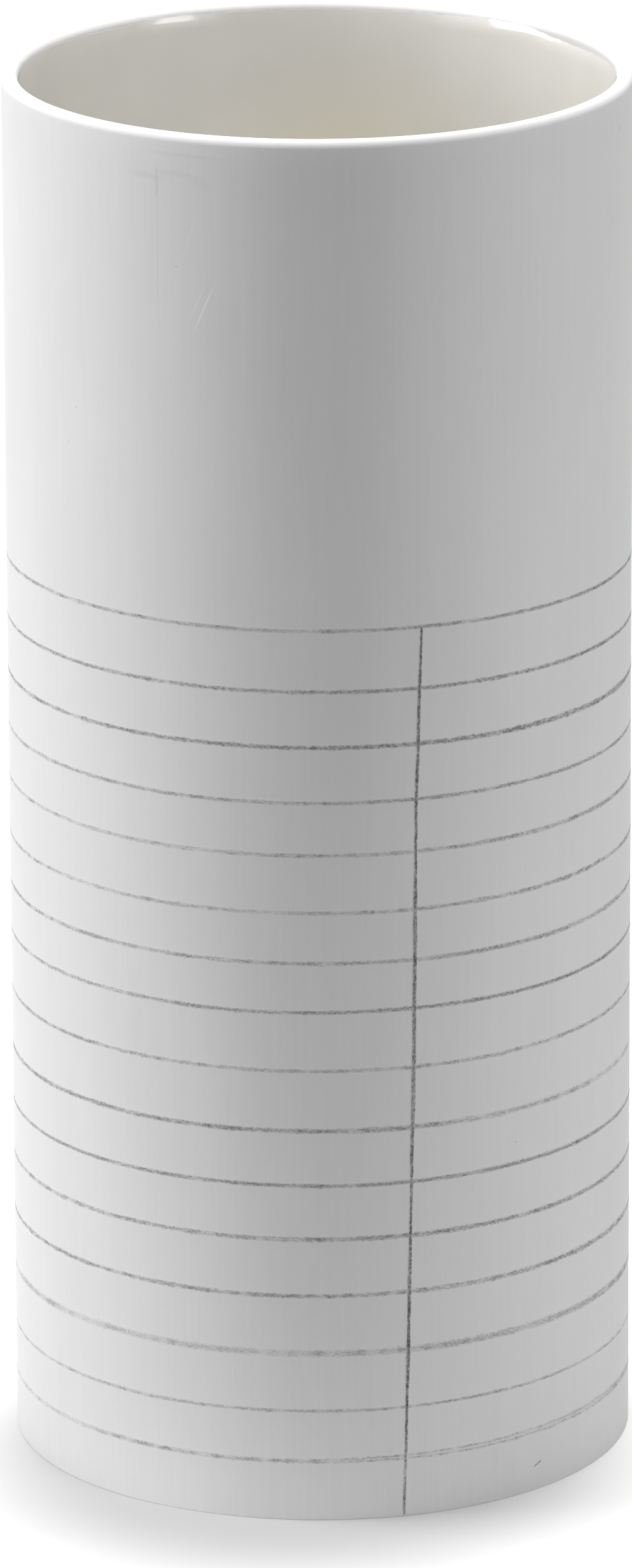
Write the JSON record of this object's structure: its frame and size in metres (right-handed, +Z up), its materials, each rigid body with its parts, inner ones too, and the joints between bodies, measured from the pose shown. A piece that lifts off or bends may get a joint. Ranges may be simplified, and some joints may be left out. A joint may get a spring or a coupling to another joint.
{
  "type": "vase",
  "caption": "Tall straight cylinder vase of matte white porcelain, glazed inside, with hand-drawn pencil-like lines ruled round its lower part and one down its front.",
  "frame": {"origin": "middle of the circle that the vase stands on, at table height", "axes": "+Z up along the vase's axis, -Y towards the front with the drawn line down it, +X to the right seen from the front"},
  "size_m": [0.1102, 0.1102, 0.248],
  "materials": {
    "bisque_porcelain": "bare matte white porcelain, smooth and fired without glaze",
    "clear_glaze": "glossy clear glaze with a faint warm green tint",
    "ceramic_pencil": "matte grey fired-on pencil, grainy"
  },
  "bodies": {
    "root": {"wall": "bisque_porcelain", "base": "bisque_porcelain", "glaze_lining": "clear_glaze", "ruled_line_01": "ceramic_pencil", "ruled_line_02": "ceramic_pencil", "ruled_line_03": "ceramic_pencil", "ruled_line_04": "ceramic_pencil", "ruled_line_05": "ceramic_pencil", "ruled_line_06": "ceramic_pencil", "ruled_line_07": "ceramic_pencil", "ruled_line_08": "ceramic_pencil", "ruled_line_09": "ceramic_pencil", "ruled_line_10": "ceramic_pencil", "ruled_line_11": "ceramic_pencil", "ruled_line_12": "ceramic_pencil", "ruled_line_13": "ceramic_pencil", "ruled_line_14": "ceramic_pencil", "ruled_line_15": "ceramic_pencil", "ruled_line_16": "ceramic_pencil", "margin_line": "ceramic_pencil"}
  },
  "joints": []
}
